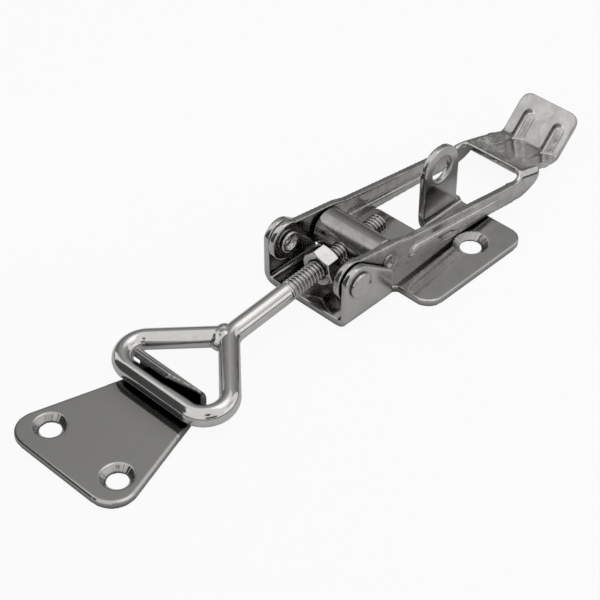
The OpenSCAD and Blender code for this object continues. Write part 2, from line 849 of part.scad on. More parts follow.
// Eye bolt: threaded rod, bent and welded loop
module eye_bolt() {
    n = floor((thread_front + bolt_tail - 1.5) / pitch);
    rod = loop_apex - neck_in + bolt_tail + wire_lap;
    color([0.78, 0.78, 0.79])
        on_bolt() {
            // Rod with its thread as one turned profile
            translate([bolt_tail, 0, 0])
                rotate([0, -90, 0])
                    rotate_extrude()
                        polygon(concat(
                            [[0, 0], [wire_r - 0.8, 0], [wire_r, 0.8]],
                            [for (i = [0 : n - 1], k = [0 : 2])
                                k == 0 ? [wire_r, 1 + i * pitch] :
                                k == 1 ? [wire_r - thread_d, 1 + (i + 0.5) * pitch] :
                                [wire_r, 1 + (i + 0.92) * pitch]],
                            [[wire_r, rod], [0, rod]]
                        ));
            // Neck bend to the near leg
            translate([-loop_apex + neck_in, -neck_r, 0])
                bent_wire(neck_r, 90, leg_angle);
            // Near leg
            translate([-loop_apex, 0, 0])
                rotate([0, 0, 180 + leg_angle])
                    translate([neck_in - wire_lap, 0, 0])
                        wire(leg_len - neck_in + 2 * wire_lap);
            // Far leg, cut off at the neck
            translate([-loop_apex, 0, 0])
                rotate([0, 0, 180 - leg_angle])
                    wire(leg_len + wire_lap);
            // Corner bends
            translate([-reach + loop_r, -corner_y, 0])
                bent_wire(loop_r, 180, 90 + leg_angle);
            translate([-reach + loop_r, corner_y, 0])
                bent_wire(loop_r, 90 - leg_angle, 90 + leg_angle);
            // Crossbar
            translate([-reach, -corner_y - wire_lap, 0])
                rotate([0, 0, 90])
                    wire(2 * (corner_y + wire_lap));
            // Weld of the far leg to the neck
            translate([-loop_apex - 0.8, 0.6, 0])
                sphere(r = weld_r);
            translate([-loop_apex - 3.2, -0.4, 0])
                sphere(r = weld_r * 0.86);
        }
}

// Hexagon lock nut with chamfered corners
module lock_nut() {
    corner = nut_af / sqrt(3);
    color([0.8, 0.8, 0.81])
        on_bolt()
            translate([-nut_at - nut_h / 2, 0, 0])
                rotate([nut_roll, 0, 0])
                    rotate([0, 90, 0])
                        difference() {
                            intersection() {
                                linear_extrude(height = nut_h)
                                    polygon([for (i = [0 : 5]) corner * [cos(60 * i + 30), sin(60 * i + 30)]]);
                                rotate_extrude()
                                    polygon([
                                        [0, 0],
                                        [nut_af * 0.48, 0],
                                        [corner + 0.1, 0.58],
                                        [corner + 0.1, nut_h - 0.58],
                                        [nut_af * 0.48, nut_h],
                                        [0, nut_h]
                                    ]);
                            }
                            translate([0, 0, -1])
                                cylinder(h = nut_h + 2, r = wire_r + pin_gap);
                            translate([0, 0, -0.01])
                                cylinder(h = 0.5, r1 = wire_r + 0.5, r2 = wire_r);
                            translate([0, 0, nut_h - 0.49])
                                cylinder(h = 0.5, r1 = wire_r, r2 = wire_r + 0.5);
                        }
}

// Strike plate: tapered plate with two screw holes and a curled hook for the crossbar
module strike_plate() {
    out_r = hook_r + sheet_t;
    lip_x = -hook_x + out_r * sin(hook_turn) - 0.3;
    color([0.62, 0.62, 0.63])
        difference() {
            union() {
                linear_extrude(height = sheet_t)
                    rounded(
                        [[-plate_end, -plate_w], [-hook_x, -hook_w], [-hook_x, hook_w], [-plate_end, plate_w]],
                        [plate_corner, 0.01, 0.01, plate_corner]);
                side_prism(-hook_w, hook_w)
                    translate([-hook_x, hook_z])
                        intersection() {
                            difference() {
                                circle(r = out_r);
                                circle(r = hook_r);
                            }
                            polygon([
                                [0, 0],
                                [0, -big],
                                [big, 0],
                                [big * sin(hook_turn), -big * cos(hook_turn)]
                            ]);
                        }
            }
            // Screw holes
            for (y = [-strike_pitch / 2, strike_pitch / 2])
                translate([-strike_hole_x, y, 0])
                    screw_hole(strike_hole_r, strike_sink_r);
            // Slanting cut on the near end of the lip
            translate([0, 0, hook_z])
                linear_extrude(height = out_r + 1)
                    polygon([
                        [lip_x - 2, -hook_w - 1],
                        [lip_x + lip_cut, -hook_w - 1],
                        [lip_x, -hook_w + lip_cut_w],
                        [lip_x - 2, -hook_w + lip_cut_w]
                    ]);
        }
}

base_bracket();
pivot_rivet_near();
pivot_rivet_far();
lever();
trunnion();
eye_bolt();
lock_nut();
strike_plate();
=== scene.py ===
# %% [markdown]
# # A stainless hatch fastener, dressed for a picture
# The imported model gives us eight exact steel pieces: a base bracket, two pivot rivets, a
# lever, a cross barrel, an eye bolt, a lock nut and a strike plate. In this lesson we
# leave their places alone and give them what a picture needs: rolled stamping edges, a
# real thread and weld on the eye bolt, polished and satin steel, a camera at the angle of
# the reference, and a soft studio round it.

# %% Load the fixed frame
import math
import bmesh
import bpy
from mathutils import Matrix, Vector, noise


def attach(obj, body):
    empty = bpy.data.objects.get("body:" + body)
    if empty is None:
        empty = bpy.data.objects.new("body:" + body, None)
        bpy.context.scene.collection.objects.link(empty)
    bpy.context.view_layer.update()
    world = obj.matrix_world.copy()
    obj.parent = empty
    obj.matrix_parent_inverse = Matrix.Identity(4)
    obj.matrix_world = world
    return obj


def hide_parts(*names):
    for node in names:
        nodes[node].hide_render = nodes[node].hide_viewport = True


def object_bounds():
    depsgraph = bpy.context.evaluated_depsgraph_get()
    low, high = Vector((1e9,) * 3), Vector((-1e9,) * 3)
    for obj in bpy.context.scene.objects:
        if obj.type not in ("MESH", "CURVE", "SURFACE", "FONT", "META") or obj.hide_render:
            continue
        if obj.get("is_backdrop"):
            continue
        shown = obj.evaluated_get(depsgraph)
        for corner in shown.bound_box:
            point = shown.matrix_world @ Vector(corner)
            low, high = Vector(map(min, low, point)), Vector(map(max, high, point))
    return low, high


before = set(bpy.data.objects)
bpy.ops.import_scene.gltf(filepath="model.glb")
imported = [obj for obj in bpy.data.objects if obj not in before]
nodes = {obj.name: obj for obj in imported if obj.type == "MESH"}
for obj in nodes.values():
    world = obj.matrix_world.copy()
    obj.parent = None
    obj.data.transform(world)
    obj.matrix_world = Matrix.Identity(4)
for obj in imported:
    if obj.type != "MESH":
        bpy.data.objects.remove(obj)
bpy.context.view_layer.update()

MM = 0.001
print("pieces:", sorted(nodes))

# %% [markdown]
# ## The camera
# The reference was taken from the left front, about 41 degrees above the bench. Its
# perspective was measured, so the camera is a long lens at a known distance that looks
# at a point near the middle of the fastener. We build the camera matrix from the
# direction that points back from the object to the lens, and the focal length from the
# scale that the picture has at that distance.

# %% Camera
AZIMUTH, ELEVATION = math.radians(-46.02), math.radians(41.13)
DISTANCE = 553.0 * MM
TARGET = Vector((-4.94, 2.61, 0.0)) * MM
PIXELS_PER_MM, FRAME_PIXELS, SENSOR_MM = 3.27, 600, 36

back = Vector((math.sin(AZIMUTH) * math.cos(ELEVATION),
               -math.cos(AZIMUTH) * math.cos(ELEVATION),
               math.sin(ELEVATION)))
side = Vector((0, 0, 1)).cross(back).normalized()
up = back.cross(side)
camera_data = bpy.data.cameras.new("bench_camera")
camera_data.sensor_width = SENSOR_MM
camera_data.lens = PIXELS_PER_MM * (DISTANCE / MM) / FRAME_PIXELS * SENSOR_MM
camera_data.clip_start, camera_data.clip_end = 0.01, 50
camera = bpy.data.objects.new("bench_camera", camera_data)
camera.matrix_world = (Matrix.Translation(TARGET + back * DISTANCE)
                       @ Matrix((side, up, back)).transposed().to_4x4())
bpy.context.scene.collection.objects.link(camera)
bpy.context.scene.camera = camera
bpy.context.scene.view_settings.view_transform = "Standard"
print("lens:", round(camera_data.lens, 1), "mm")

# %% [markdown]
# ## Small helpers for shader nodes
# Every material below is a small tree of nodes. `add` makes one node, `join` runs a wire
# from one node's output to another's input, and `feed` takes whichever we have, a plain
# value or a wire. On top of these, `maths`, `remap` and `mixed` make the three nodes that
# turn up everywhere in one line each, so that a tree reads like the sum it works out.

# %% Helpers: nodes and wires
def add(tree, kind, **settings):
    """Makes a node. A setting is one of its properties, or an input with _ for spaces."""
    node = tree.nodes.new(kind)
    for key, value in settings.items():
        if hasattr(node, key):
            setattr(node, key, value)
        else:
            node.inputs[key.replace("_", " ")].default_value = value
    return node


def join(tree, a, a_socket, b, b_socket):
    """Runs a wire from an output of a to an input of b."""
    tree.links.new(a.outputs[a_socket], b.inputs[b_socket])


def feed(tree, node, socket, term):
    """Sets an input to a plain value, or wires it to another node's (node, output)."""
    if isinstance(term, tuple) and isinstance(term[0], bpy.types.Node):
        join(tree, *term, node, socket)
    else:
        node.inputs[socket].default_value = term


def empty_tree(owner):
    """Switches on the nodes of a material or a world, and clears them."""
    owner.use_nodes = True
    owner.node_tree.nodes.clear()
    return owner.node_tree


# %% Helpers: sums, ranges and mixes
def maths(tree, operation, *terms, clamp=False):
    node = add(tree, "ShaderNodeMath", operation=operation, use_clamp=clamp)
    for socket, term in enumerate(terms):
        feed(tree, node, socket, term)
    return node


def remap(tree, value, source, target=(0.0, 1.0), smooth=False):
    """Moves a value from the range source to the range target, straight or S-shaped."""
    node = add(tree, "ShaderNodeMapRange", interpolation_type="SMOOTHSTEP" if smooth else "LINEAR")
    sockets = ("Value", "From Min", "From Max", "To Min", "To Max")
    for socket, term in zip(sockets, (value, *source, *target)):
        feed(tree, node, socket, term)
    return node


def mixed(tree, factor, one, two):
    """A colour between one and two."""
    node = add(tree, "ShaderNodeMix", data_type="RGBA")
    for socket, term in (("Factor", factor), ("A", one), ("B", two)):
        feed(tree, node, socket, term)
    return node


def mix_out(tree, kind, share, one, two):
    """Mixes two shaders and sends the result to a new output node of this kind."""
    blend = add(tree, "ShaderNodeMixShader")
    feed(tree, blend, "Fac", share)
    join(tree, one, 0, blend, 1)
    join(tree, two, 0, blend, 2)
    join(tree, blend, 0, add(tree, kind), 0)


# %% [markdown]
# ## The white floor
# The fastener lies on a seamless white sweep. For rays from the camera the sweep is
# mostly a plain white glow; the rest is a matt paper that still takes the soft shadow
# under the steel. Rays that metal or glass sends on get a small share of the glow, and
# see mostly the shaded paper, so that the inside of the channel stays dark. All other
# rays get paper alone, so the glow doesn't light the object.

# %% Floor
FLOOR_SIZE, FLOOR_DROP, PAPER_TONE = 8, 0.2 * MM, 0.8
GLOW_TO_CAMERA, GLOW_TO_METAL = 0.92, 0.12

bpy.ops.mesh.primitive_grid_add(x_subdivisions=8, y_subdivisions=8, size=FLOOR_SIZE,
                                location=(0, 0, -FLOOR_DROP))
floor = bpy.context.object
floor.name = "white_sweep"
floor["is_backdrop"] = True
paper = bpy.data.materials.new("white_paper")
floor.data.materials.append(paper)
tree = empty_tree(paper)
matt = add(tree, "ShaderNodeBsdfDiffuse", Color=(PAPER_TONE, PAPER_TONE, PAPER_TONE, 1))
glow = add(tree, "ShaderNodeEmission", Color=(1, 1, 1, 1), Strength=1.0)
ray = add(tree, "ShaderNodeLightPath")
sent_on = maths(tree, "ADD", (ray, "Is Glossy Ray"), (ray, "Is Transmission Ray"), clamp=True)
to_metal = maths(tree, "MULTIPLY", (sent_on, 0), GLOW_TO_METAL)
share = maths(tree, "MULTIPLY_ADD", (ray, "Is Camera Ray"), GLOW_TO_CAMERA, (to_metal, 0),
              clamp=True)
mix_out(tree, "ShaderNodeOutputMaterial", (share, 0), matt, glow)
print("floor:", FLOOR_SIZE, "m wide")

# %% [markdown]
# ## The light tent
# The world is a white tent: white where the camera or the polished steel looks at it,
# and a little softer as a light, so a colour renders about as it is written.

# %% World
world = bpy.data.worlds.new("light_tent")
bpy.context.scene.world = world
tree = empty_tree(world)
cloth = add(tree, "ShaderNodeBackground", Color=(1, 1, 1, 1), Strength=0.8)
tent = add(tree, "ShaderNodeBackground", Color=(1, 1, 1, 1), Strength=1.0)
ray = add(tree, "ShaderNodeLightPath")
seen = maths(tree, "ADD", (ray, "Is Camera Ray"), (ray, "Is Glossy Ray"))
seen = maths(tree, "ADD", (seen, 0), (ray, "Is Transmission Ray"), clamp=True)
mix_out(tree, "ShaderNodeOutputWorld", (seen, 0), cloth, tent)

# %% [markdown]
# ## Cards for the steel to look at
# Polished steel has hardly any colour of its own: it shows the room. In an all-white
# tent it goes pale and flat, so a photographer hangs grey and black cards just outside
# the picture. Most cards here are curved patches of a big dome, given by their compass
# angle and their height above the bench; one is a flat wall. First come the two shapes,
# made in bmesh as grids, so that they can bend and shade evenly.

# %% Card shapes
def new_piece(name, mesh):
    """Puts a mesh into the scene as an object."""
    piece = bpy.data.objects.new(name, mesh)
    bpy.context.scene.collection.objects.link(piece)
    return piece


def finished_mesh(name, bm):
    mesh = bpy.data.meshes.new(name)
    bm.to_mesh(mesh)
    bm.free()
    return mesh


def dome_patch(turn, height, radius, columns=16, rows=8):
    """A patch of a dome. turn and height are ranges in degrees, turn from +X towards +Y."""
    def between(ends, share):
        return math.radians(ends[0] + (ends[1] - ends[0]) * share)

    bm = bmesh.new()
    grid = []
    for rise in (between(height, j / rows) for j in range(rows + 1)):
        grid.append([bm.verts.new((radius * math.cos(rise) * math.cos(heading),
                                   radius * math.cos(rise) * math.sin(heading),
                                   radius * math.sin(rise)))
                     for heading in (between(turn, i / columns) for i in range(columns + 1))])
    for low_row, high_row in zip(grid, grid[1:]):
        for i in range(columns):
            bm.faces.new((low_row[i], low_row[i + 1], high_row[i + 1], high_row[i]))
    return bm


def flat_patch(corners, cuts=6):
    bm = bmesh.new()
    bm.faces.new([bm.verts.new(corner) for corner in corners])
    bmesh.ops.subdivide_edges(bm, edges=bm.edges, cuts=cuts, use_grid_fill=True)
    return bm


# %% [markdown]
# ### How a card glows
# A card isn't lit: it glows with its own grey, so its tone is known. It goes from one
# grey at its foot to another at its top, as a real card does that leans away from the
# lamp. A second shading runs sideways, and lets one broad card be right for the plate on
# the left and for the lever on the right. The camera doesn't see the cards; only the
# metal does.

# %% Card glow
def card_glow(name, tones, sweep):
    """tones are the greys at foot and top; sweep is a list of (place along X, factor)."""
    material = bpy.data.materials.new(name)
    tree = empty_tree(material)
    place = add(tree, "ShaderNodeTexCoord")
    split = add(tree, "ShaderNodeSeparateXYZ")
    join(tree, place, "Generated", split, 0)
    shade = remap(tree, (split, "Z"), (0.0, 1.0), tones, smooth=True)
    if sweep:
        fade = add(tree, "ShaderNodeValToRGB")
        fade.color_ramp.interpolation = "EASE"
        while len(fade.color_ramp.elements) < len(sweep):
            fade.color_ramp.elements.new(0.5)
        for stop, (at, factor) in zip(fade.color_ramp.elements, sweep):
            stop.position, stop.color = at, (factor, factor, factor, 1)
        join(tree, split, "X", fade, 0)
        shade = maths(tree, "MULTIPLY", (shade, 0), (fade, 0))
    glow = add(tree, "ShaderNodeEmission", Strength=1.0)
    join(tree, shade, 0, glow, "Color")
    join(tree, glow, 0, add(tree, "ShaderNodeOutputMaterial"), 0)
    return material


def plain_glow(name, tone):
    material = bpy.data.materials.new(name)
    tree = empty_tree(material)
    glow = add(tree, "ShaderNodeEmission", Color=(tone, tone, tone, 1), Strength=1.0)
    join(tree, glow, 0, add(tree, "ShaderNodeOutputMaterial"), 0)
    return material


# %% [markdown]
# ### Hang them
# Each card is placed by what shows it. A flat upper face on the bench shows the sky
# opposite the camera at the same height, so the grey card hangs there; the fronts of the
# ears and the flanks of the wire look elsewhere, and have cards of their own. Three
# bright boxes are the lamps: long highlights on the wire are their reflections.

# %% Hang the cards
def hang(name, shape, material):
    card = new_piece(name, finished_mesh(name, shape))
    card.data.materials.append(material)
    card.visible_camera = False
    card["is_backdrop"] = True


DOME, FAR_DOME = 0.9, 1.3
GREY_SWEEP = [(0.0, 0.62), (0.40, 0.84), (0.53, 1.0), (0.66, 0.86), (1.0, 0.90)]
cards = [  # name, turn, height, greys at foot and top, dome, sideways shading
    ("grey_card", (-8, 96), (9, 54), (0.20, 0.50), DOME, GREY_SWEEP),    # flat upper faces
    ("dark_strip", (-64, -34), (39, 45), (0.14, 0.18), DOME, ()),        # a line on the rod
    ("low_band", (-180, 180), (0.4, 8), (0.03, 0.12), FAR_DOME, ()),     # the dark horizon
    ("front_card", (-140, -108), (12, 30), (0.08, 0.16), DOME, ()),      # fronts of the ears
    ("camera_strip", (-146, -128), (40, 60), (0.06, 0.10), DOME, ()),    # dark side of the room
    ("right_box", (-84, -46), (9, 37), (1.15, 1.30), DOME, ()),          # lamp, near side
    ("overhead_box", (-60, 60), (62, 82), (1.5, 1.8), DOME, ()),         # lamp, above
    ("left_box", (115, 165), (25, 60), (1.0, 1.1), DOME, ()),            # lamp, far left
]
for name, turn, height, tones, radius, sweep in cards:
    hang(name, dome_patch(turn, height, radius), card_glow(name, tones, sweep))

WALL_X, WALL_Y, WALL_Z = (-0.33, -0.10), 0.105, (0.004, 0.22)
hang("hook_wall", flat_patch([(WALL_X[0], WALL_Y, WALL_Z[0]), (WALL_X[1], WALL_Y, WALL_Z[0]),
                              (WALL_X[1], WALL_Y, WALL_Z[1]), (WALL_X[0], WALL_Y, WALL_Z[1])]),
     plain_glow("hook_wall", 0.08))
print("cards:", len(cards) + 1)

# %% [markdown]
# ## Softened nut and barrel
# The lock nut and the cross barrel are turned from bar, and a chamfer tool breaks their
# edges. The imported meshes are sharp, so we copy each one, clean the copy (merge doubles,
# melt the flat triangles into whole faces) and let a bevel modifier round every corner
# that is steeper than 34 degrees. The bevel catches the thin bright lines that make a
# machined part look machined, and weighted normals keep the flats flat.

# %% Softened copies
DOUBLES, SLIVERS = 0.03 * MM, 0.02 * MM
STILL_FLAT, CORNER = math.radians(0.8), math.radians(34)


def softened(name, body, width):
    """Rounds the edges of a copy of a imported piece; width in mm."""
    mesh = nodes[name].data.copy()
    bm = bmesh.new()
    bm.from_mesh(mesh)
    bmesh.ops.remove_doubles(bm, verts=bm.verts, dist=DOUBLES)
    bmesh.ops.dissolve_degenerate(bm, edges=bm.edges, dist=SLIVERS)
    bmesh.ops.dissolve_limit(bm, angle_limit=STILL_FLAT, verts=bm.verts, edges=bm.edges)
    bm.to_mesh(mesh)
    bm.free()
    piece = new_piece(name + "_rolled", mesh)
    roll = piece.modifiers.new("roll", "BEVEL")
    roll.width, roll.segments = width * MM, 3
    roll.limit_method, roll.angle_limit = "ANGLE", CORNER
    mesh.shade_smooth()
    even = piece.modifiers.new("even", "WEIGHTED_NORMAL")
    even.keep_sharp = False
    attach(piece, body)
    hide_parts(name)
    print(name, "faces:", len(mesh.polygons))
    return piece


nut = softened("lock_nut", "nut", 0.25)
barrel = softened("trunnion", "trunnion", 0.3)

# %% [markdown]
# ## Melting a shape into one skin
# Two kinds of piece need it: sheet that was pressed, and weld that was liquid. A voxel
# remesh covers the shape with a skin of equal cells, whatever the mesh was before, and a
# smooth modifier relaxes that skin, so that corners inside and outside both go round.
# The result is applied, because a finished mesh is what the record keeps.

# %% Melt
def melt(piece, cell, calm_steps):
    """Covers a piece with a skin of equal cells (mm), relaxes it, and keeps the result."""
    cover = piece.modifiers.new("melt", "REMESH")
    cover.mode, cover.voxel_size, cover.use_smooth_shade = "VOXEL", cell * MM, True
    calm = piece.modifiers.new("calm", "SMOOTH")
    calm.factor, calm.iterations = 0.5, calm_steps
    bpy.context.view_layer.update()
    finished = piece.evaluated_get(bpy.context.evaluated_depsgraph_get())
    skin = bpy.data.meshes.new_from_object(finished)
    piece.modifiers.clear()
    piece.data = skin
    return skin


# %% [markdown]
# ## The three pressings
# The bracket, the lever and the strike plate are pressed from sheet: folds flow into each
# other, ribs and beads swell out, and every sheared edge is rolled by the die. A bevel
# only rounds edges, so here we melt a copy of each. Some places are relaxed further:
# where the lever's web turns down into the arms, and along the outline of the strike
# plate, which the die rolled over more. Its countersinks keep their crisp rims.

# %% Pressings
CELL = 0.30
HOLE_X, HOLE_Y, CRISP = -94.3, 14.2, 5.6    # strike plate: its holes, and their crisp zone
HOOK_FOOT = -72                             # strike plate: where the hook's bend begins
HEEL, ARM_INSIDE = (77, 96), 9.6            # lever: where the web meets the arms


def pressed(name, body, calm_steps, soft_zone=None, zone_steps=0):
    """soft_zone tests a place in mm: where it is true, the skin is relaxed further."""
    piece = new_piece(name + "_pressed", nodes[name].data.copy())
    join_up = piece.modifiers.new("join_up", "WELD")
    join_up.merge_threshold = 0.02 * MM
    skin = melt(piece, CELL, calm_steps)
    if soft_zone:
        zone = piece.vertex_groups.new(name="soft_zone")
        zone.add([v.index for v in skin.vertices if soft_zone(v.co / MM)], 1.0, "REPLACE")
        more = piece.modifiers.new("more", "SMOOTH")
        more.factor, more.iterations, more.vertex_group = 0.5, zone_steps, "soft_zone"
    skin.shade_smooth()
    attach(piece, body)
    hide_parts(name)
    print(name, "faces:", len(skin.polygons))
    return piece


def web_corner(c):
    return HEEL[0] < c.x < HEEL[1] and abs(c.y) > ARM_INSIDE


def plate_outline(c):
    return c.x < HOOK_FOOT and math.hypot(c.x - HOLE_X, abs(c.y) - HOLE_Y) > CRISP


lever = pressed("lever", "lever", 7, web_corner, 30)
base = pressed("base_bracket", "base", 7)
strike = pressed("strike_plate", "strike", 8, plate_outline, 12)

# %% [markdown]
# ## A skin over rings
# Rivets and wire have one thing in common: both are a row of rings with a skin over
# them. For the rivet the rings differ in radius and share an axis, and for the wire they
# follow a path. So the skin is made in one place: quads between neighbouring rings, and
# one face to close each end.

# %% Skin over rings
def ring_skin(bm, rings):
    """Covers a row of vertex rings of equal count, and closes both ends."""
    around = len(rings[0])
    for one, two in zip(rings, rings[1:]):
        for k in range(around):
            after = (k + 1) % around
            bm.faces.new((one[k], one[after], two[after], two[k]))
    bm.faces.new(list(reversed(rings[0])))
    bm.faces.new(rings[-1])
    bmesh.ops.recalc_face_normals(bm, faces=bm.faces)


# %% [markdown]
# ## The pivot rivets
# Each rivet is a turned part, so we spin a profile about the pivot axis: a low crowned
# head outside the ear, the shank, and the rolled ring that was pressed over inside the
# arm round the hollow end. The crown is slightly domed with a faint tool ring, because a
# flat disc would show one dead tone. A profile is a list of (radius, height inwards).

# %% Rivet profile
EAR_FACE, PIVOT_Z = 17.3, 15.0                  # outer face of the ears, pivot height
HEAD_R, HEAD_H, RIM_R, RIM_H = 4.2, 1.7, 3.32, 0.75
CROWN_FALL, CROWN_R = 0.42, 3.6
TOOL_RING_R, TOOL_RING_W, TOOL_RING_H = 2.3, 0.18, 0.05
SHANK_R, SHANK = 2.6, 5.3
RING_MID, RING_TUBE = 3.0, 0.62


def crown(r):
    tool_ring = TOOL_RING_H * math.exp(-((r - TOOL_RING_R) / TOOL_RING_W) ** 2)
    return -HEAD_H + CROWN_FALL * (r / CROWN_R) ** 2 - tool_ring


def rivet_profile():
    middle = 0.02
    head = [(r, crown(r)) for r in (middle + (RIM_R - middle) * i / 22 for i in range(23))]
    rim = [(RIM_R + (HEAD_R - RIM_R) * math.sin(a), crown(RIM_R) + RIM_H * (1 - math.cos(a)))
           for a in (math.radians(10 * i) for i in range(1, 10))]
    ring = [(RING_MID + RING_TUBE * math.cos(a), SHANK + RING_TUBE * (0.75 + math.sin(a)))
            for a in (math.radians(15 * i - 60) for i in range(17))]
    under_head = [(HEAD_R, -0.3), (HEAD_R - 0.1, 0), (SHANK_R, 0), (SHANK_R, SHANK)]
    hollow = [(1.75, SHANK + 0.2), (1.6, SHANK - 0.6), (1.35, SHANK - 1.3), (middle, SHANK - 1.6)]
    return head + rim + under_head + ring + hollow


# %% [markdown]
# ### Spin it
# The same profile serves both rivets: it is mirrored by `side_of`, which says on which
# side of the fastener the head lies.

# %% Turned rivets
def turned_rivet(name, side_of, around=64):
    """side_of is -1 for the near ear and 1 for the far one."""
    bm = bmesh.new()
    turns = [2 * math.pi * k / around for k in range(around)]
    rings = [[bm.verts.new((r * MM * math.cos(a), side_of * (EAR_FACE - h) * MM,
                            PIVOT_Z * MM + r * MM * math.sin(a))) for a in turns]
             for r, h in rivet_profile()]
    ring_skin(bm, rings)
    piece = new_piece(name + "_turned", finished_mesh(name + "_turned", bm))
    piece.data.shade_smooth()
    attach(piece, "base")
    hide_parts(name)
    return piece


near_rivet = turned_rivet("pivot_rivet_near", -1)
far_rivet = turned_rivet("pivot_rivet_far", 1)
print("rivet head:", HEAD_R, "mm, ring:", RING_MID - RING_TUBE, "to", RING_MID + RING_TUBE)

# %% [markdown]
# ## The eye bolt
# The real bolt is one length of quarter-inch wire: a thread rolled on one end, a bend at
# the neck, a loop round the hook, and the cut end welded back to the neck. We draw it
# flat first, with the barrel's middle as the origin and the bolt along X: `arc` and
# `straight` give the points, closer together where the thread will be. The whole bolt is
# then tilted once, along the line from the barrel to the crossbar.

# %% Sizes of the bolt
WIRE, PITCH, DEPTH = 3.2, 1.27, 0.75            # radius of the wire, and its thread
TAIL, THREAD_FRONT = 12.0, 30.0                 # both ends of the thread, from the barrel
CRANK, CRANK_ANGLE = 16.6, math.radians(10)     # the barrel, seen from the pivot
BARREL_X, BARREL_Z = CRANK * math.cos(CRANK_ANGLE), PIVOT_Z - CRANK * math.sin(CRANK_ANGLE)
CROSSBAR_X, CROSSBAR_Z = -65.9, 5.8
REACH = math.hypot(BARREL_X - CROSSBAR_X, BARREL_Z - CROSSBAR_Z)
TILT = math.atan2(BARREL_Z - CROSSBAR_Z, BARREL_X - CROSSBAR_X)
LEG, NECK_R, LOOP_R, CORNER_Y = math.radians(46.4), 8.0, 7.0, 12.4
CORNER_IN = LOOP_R / math.tan((math.pi / 2 - LEG) / 2)
APEX = REACH - (CORNER_Y + CORNER_IN) / math.tan(LEG)
NECK_IN = NECK_R * math.tan(LEG / 2)
LAP = 2.2                                       # how far the free leg runs into the neck
in_place = (Matrix.Translation(Vector((BARREL_X, 0, BARREL_Z)) * MM)
            @ Matrix.Rotation(-TILT, 4, "Y"))


# %% [markdown]
# ### The path
# The path runs from the tail through the barrel to the neck, down the near leg, round
# both corners of the loop, and back up the far leg into the neck.

# %% The path of the wire
def arc(centre, radius, start, turn, step=3.0):
    """Points on an arc in the plane of the loop; start, turn and step in degrees."""
    n = max(4, int(abs(turn) / step))
    return [Vector((centre[0] + radius * math.cos(math.radians(start + turn * i / n)),
                    centre[1] + radius * math.sin(math.radians(start + turn * i / n)), 0))
            for i in range(n + 1)]


def straight(a, b, step):
    n = max(1, int((b - a).length / step))
    return [a.lerp(b, i / n) for i in range(n + 1)]


leg_deg = math.degrees(LEG)
rod_end = Vector((TAIL, 0, 0))
thread_end = Vector((-THREAD_FRONT - 3, 0, 0))
neck_start = Vector((-APEX + NECK_IN, 0, 0))
neck = arc((neck_start.x, -NECK_R), NECK_R, 90, leg_deg)
near_corner = arc((-REACH + LOOP_R, -CORNER_Y), LOOP_R, 270 + leg_deg, -(90 + leg_deg))
far_corner = arc((-REACH + LOOP_R, CORNER_Y), LOOP_R, 180, -(90 + leg_deg))
far_end = Vector((-APEX - LAP * math.cos(LEG), LAP * math.sin(LEG), 0))
path = (straight(rod_end, thread_end, PITCH / 9)
        + straight(thread_end, neck_start, 1.5)[1:] + neck[1:]
        + straight(neck[-1], near_corner[0], 1.5)[1:] + near_corner[1:]
        + straight(near_corner[-1], far_corner[0], 1.5)[1:] + far_corner[1:]
        + straight(far_corner[-1], far_end, 1.5)[1:])
length = sum((b - a).length for a, b in zip(path, path[1:]))
print("wire:", len(path), "rings,", round(length, 1), "mm long")

# %% [markdown]
# ## The thread
# A rolled thread has a round root and a slightly flat crest. `groove` gives the depth
# for one turn: zero on the crest, one in the root, with straight flanks between. Each
# point of a ring goes in by the groove at its own angle plus its place along the bolt,
# and that turns a plain rod into a true helix: once round the ring is one pitch along
# the rod. At the front the groove fades out over a turn and a half, like the run-out
# that the rolling dies leave, and the tail end is rounded off.

# %% Thread profile
RUN_OUT, END_LENGTH, END_DROP = 2.0, 0.9, 0.75


def groove(turns):
    off_root = abs(turns % 1.0 - 0.5) * 2
    return max(0.0, min(1.0, (1.0 - off_root) * 1.16 - 0.08))


def wire_radius(x, angle):
    """Radius at a place along the bolt and an angle round it."""
    into_end = max(0.0, (x - (TAIL - END_LENGTH)) / END_LENGTH)
    fade = max(0.0, min(1.0, (THREAD_FRONT + x) / RUN_OUT))
    cut = DEPTH * groove(x / PITCH + angle / (2 * math.pi)) * fade
    return WIRE - END_DROP * into_end * into_end - cut


# %% [markdown]
# ### The sweep
# A curve object with a bevel could sweep a round wire, but it can't cut a thread. So we
# set up each ring one by one, square to the path, and ask `wire_radius` for every point.

# %% Sweep the wire
AROUND = 56
UPWARDS = Vector((0, 0, 1))
bm = bmesh.new()
rings = []
for before, here, after in zip(path[:1] + path, path, path[1:] + path[-1:]):
    across = UPWARDS.cross((after - before).normalized())
    ring = []
    for angle in (2 * math.pi * k / AROUND for k in range(AROUND)):
        r = wire_radius(here.x, angle)
        point = here + across * math.cos(angle) * r + UPWARDS * math.sin(angle) * r
        ring.append(bm.verts.new(point * MM))
    rings.append(ring)
ring_skin(bm, rings)
bm.transform(in_place)
wire = new_piece("bent_wire", finished_mesh("bent_wire", bm))
wire.data.shade_smooth()
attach(wire, "bolt")
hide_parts("eye_bolt")
print("wire faces:", len(wire.data.polygons))

# %% [markdown]
# ## The weld
# Where the cut end meets the neck, the welder left a small lumpy bead. We gather a few
# overlapping balls along the joint, melt them into one skin, and push the skin in and
# out with a slow noise so no two lumps are alike.

# %% Weld bead
beads = [  # x and y from the apex of the loop, z, radius
    (-0.4, 1.4, 0.3, 3.25), (-2.4, 1.9, 0.2, 3.15), (-1.6, 0.2, 0.2, 3.3),
    (-3.4, 0.6, -0.1, 2.9), (0.9, 0.8, 0.0, 2.75), (-2.2, 2.6, 0.9, 2.3)]
WELD_CELL, WELD_CALM = 0.2, 24
LUMP_HEIGHT, LUMPS_PER_MM = 0.09, 0.8

